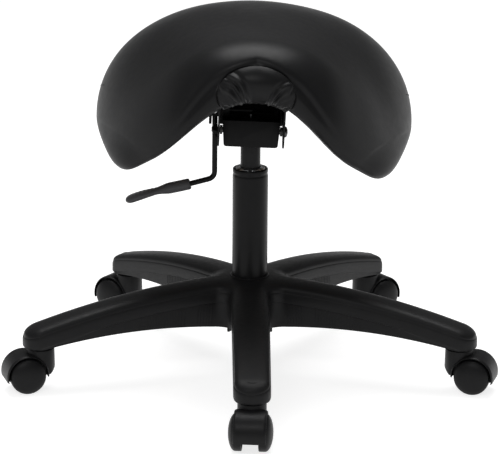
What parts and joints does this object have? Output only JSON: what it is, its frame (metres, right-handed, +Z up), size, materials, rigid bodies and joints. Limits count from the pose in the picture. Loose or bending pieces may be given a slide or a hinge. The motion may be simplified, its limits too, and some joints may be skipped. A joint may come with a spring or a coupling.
{
  "type": "saddle stool",
  "caption": "Height-adjustable stool with a padded saddle seat on a tilting plate, a gas lift and a star base on twin-wheel casters",
  "frame": {"origin": "on the column's axis at floor level", "axes": "+X is the sitter's left-to-right direction as seen in the picture, -Y is the front, +Z is up"},
  "size_m": [0.6924, 0.6558, 0.4991],
  "materials": {
    "seat_vinyl": "satin",
    "base_nylon": "matte",
    "wheel_nylon": "matte",
    "grip_plastic": "satin",
    "frame_steel": "satin",
    "bright_steel": "satin",
    "pale_plastic": "matte",
    "black_rubber": "matte",
    "plywood": "matte"
  },
  "bodies": {
    "base": {"star_base": "base_nylon", "hub_ring": "frame_steel", "stand_tube": "frame_steel", "tube_bushing": "pale_plastic", "guide_ring": "bright_steel", "thrust_washer_lower": "bright_steel", "stem_front": "bright_steel", "stem_right": "bright_steel", "stem_rear_right": "bright_steel", "stem_rear_left": "bright_steel", "stem_left": "bright_steel"},
    "rod": {"piston_rod": "bright_steel", "piston": "bright_steel", "rod_clip": "bright_steel", "thrust_bearing": "bright_steel", "thrust_washer_upper": "bright_steel", "rubber_bumper": "black_rubber"},
    "lift": {"pressure_tube": "frame_steel", "rod_guide": "black_rubber", "taper_socket": "frame_steel", "mech_housing": "frame_steel", "lever_bracket": "frame_steel", "lever_pin": "bright_steel", "pivot_bolt": "bright_steel", "pivot_nut": "frame_steel", "pivot_spacer_left": "pale_plastic", "pivot_spacer_right": "pale_plastic"},
    "valve": {"valve_button": "bright_steel"},
    "lever": {"lift_lever": "frame_steel", "lever_grip": "grip_plastic"},
    "seat": {"seat_plate": "frame_steel", "seat_screw_front_left": "bright_steel", "seat_screw_front_right": "bright_steel", "seat_screw_rear_left": "bright_steel", "seat_screw_rear_right": "bright_steel", "seat_pan": "plywood", "seat_cushion": "seat_vinyl", "front_gusset": "seat_vinyl"},
    "caster_front": {"hood_front": "base_nylon", "axle_front": "bright_steel"},
    "wheel_a_front": {"wheel_a_front": "wheel_nylon"},
    "wheel_b_front": {"wheel_b_front": "wheel_nylon"},
    "caster_right": {"hood_right": "base_nylon", "axle_right": "bright_steel"},
    "wheel_a_right": {"wheel_a_right": "wheel_nylon"},
    "wheel_b_right": {"wheel_b_right": "wheel_nylon"},
    "caster_rear_right": {"hood_rear_right": "base_nylon", "axle_rear_right": "bright_steel"},
    "wheel_a_rear_right": {"wheel_a_rear_right": "wheel_nylon"},
    "wheel_b_rear_right": {"wheel_b_rear_right": "wheel_nylon"},
    "caster_rear_left": {"hood_rear_left": "base_nylon", "axle_rear_left": "bright_steel"},
    "wheel_a_rear_left": {"wheel_a_rear_left": "wheel_nylon"},
    "wheel_b_rear_left": {"wheel_b_rear_left": "wheel_nylon"},
    "caster_left": {"hood_left": "base_nylon", "axle_left": "bright_steel"},
    "wheel_a_left": {"wheel_a_left": "wheel_nylon"},
    "wheel_b_left": {"wheel_b_left": "wheel_nylon"}
  },
  "joints": [
    {"name": "column_swivel", "type": "hinge", "parent": "base", "child": "rod", "pos_m": [0, 0, 0.068], "axis": [0, 0, 1], "continuous": true},
    {"name": "height", "type": "slide", "parent": "rod", "child": "lift", "axis": [0, 0, 1], "range_m": [0, 0.12]},
    {"name": "seat_tilt", "type": "hinge", "parent": "lift", "child": "seat", "pos_m": [0.00073, -0.025, 0.35299], "axis": [0.9994, 0, -0.0349], "range_deg": [-8, 8]},
    {"name": "lift_lever", "type": "hinge", "parent": "lift", "child": "lever", "pos_m": [-0.04976, 0, 0.37726], "axis": [0, 1, 0], "range_deg": [0, 5], "stiffness_Nm_per_rad": 1.2, "springref_deg": -5.73},
    {"name": "valve_press", "type": "slide", "parent": "lift", "child": "valve", "axis": [0, 0, -1], "range_m": [0, 0.0044]},
    {"name": "caster_swivel_front", "type": "hinge", "parent": "base", "child": "caster_front", "pos_m": [0.00427, -0.30597, 0.05], "axis": [0, 0, 1], "continuous": true},
    {"name": "wheel_a_spin_front", "type": "hinge", "parent": "caster_front", "child": "wheel_a_front", "pos_m": [0.00274, -0.32842, 0.025], "axis": [0.9977, -0.068, 0], "continuous": true},
    {"name": "wheel_b_spin_front", "type": "hinge", "parent": "caster_front", "child": "wheel_b_front", "pos_m": [0.00274, -0.32842, 0.025], "axis": [0.9977, -0.068, 0], "continuous": true},
    {"name": "caster_swivel_right", "type": "hinge", "parent": "base", "child": "caster_right", "pos_m": [0.29231, -0.09049, 0.05], "axis": [0, 0, 1], "continuous": true},
    {"name": "wheel_a_spin_right", "type": "hinge", "parent": "caster_right", "child": "wheel_a_right", "pos_m": [0.31381, -0.09714, 0.025], "axis": [0.2957, 0.9553, 0], "continuous": true},
    {"name": "wheel_b_spin_right", "type": "hinge", "parent": "caster_right", "child": "wheel_b_right", "pos_m": [0.31381, -0.09714, 0.025], "axis": [0.2957, 0.9553, 0], "continuous": true},
    {"name": "caster_swivel_rear_right", "type": "hinge", "parent": "base", "child": "caster_rear_right", "pos_m": [0.17639, 0.25005, 0.05], "axis": [0, 0, 1], "continuous": true},
    {"name": "wheel_a_spin_rear_right", "type": "hinge", "parent": "caster_rear_right", "child": "wheel_a_rear_right", "pos_m": [0.19486, 0.26289, 0.025], "axis": [-0.5707, 0.8211, 0], "continuous": true},
    {"name": "wheel_b_spin_rear_right", "type": "hinge", "parent": "caster_rear_right", "child": "wheel_b_rear_right", "pos_m": [0.19486, 0.26289, 0.025], "axis": [-0.5707, 0.8211, 0], "continuous": true},
    {"name": "caster_swivel_rear_left", "type": "hinge", "parent": "base", "child": "caster_rear_left", "pos_m": [-0.1833, 0.24502, 0.05], "axis": [0, 0, 1], "continuous": true},
    {"name": "wheel_a_spin_rear_left", "type": "hinge", "parent": "caster_rear_left", "child": "wheel_a_rear_left", "pos_m": [-0.20213, 0.25734, 0.025], "axis": [-0.5476, -0.8368, 0], "continuous": true},
    {"name": "wheel_b_spin_rear_left", "type": "hinge", "parent": "caster_rear_left", "child": "wheel_b_rear_left", "pos_m": [-0.20213, 0.25734, 0.025], "axis": [-0.5476, -0.8368, 0], "continuous": true},
    {"name": "caster_swivel_left", "type": "hinge", "parent": "base", "child": "caster_left", "pos_m": [-0.28968, -0.09861, 0.05], "axis": [0, 0, 1], "continuous": true},
    {"name": "wheel_a_spin_left", "type": "hinge", "parent": "caster_left", "child": "wheel_a_left", "pos_m": [-0.31097, -0.10586, 0.025], "axis": [0.3223, -0.9466, 0], "continuous": true},
    {"name": "wheel_b_spin_left", "type": "hinge", "parent": "caster_left", "child": "wheel_b_left", "pos_m": [-0.31097, -0.10586, 0.025], "axis": [0.3223, -0.9466, 0], "continuous": true}
  ],
  "couplings": [
    {"joint": "valve_press", "follows": "lift_lever", "m_per_rad": 0.049756}
  ]
}
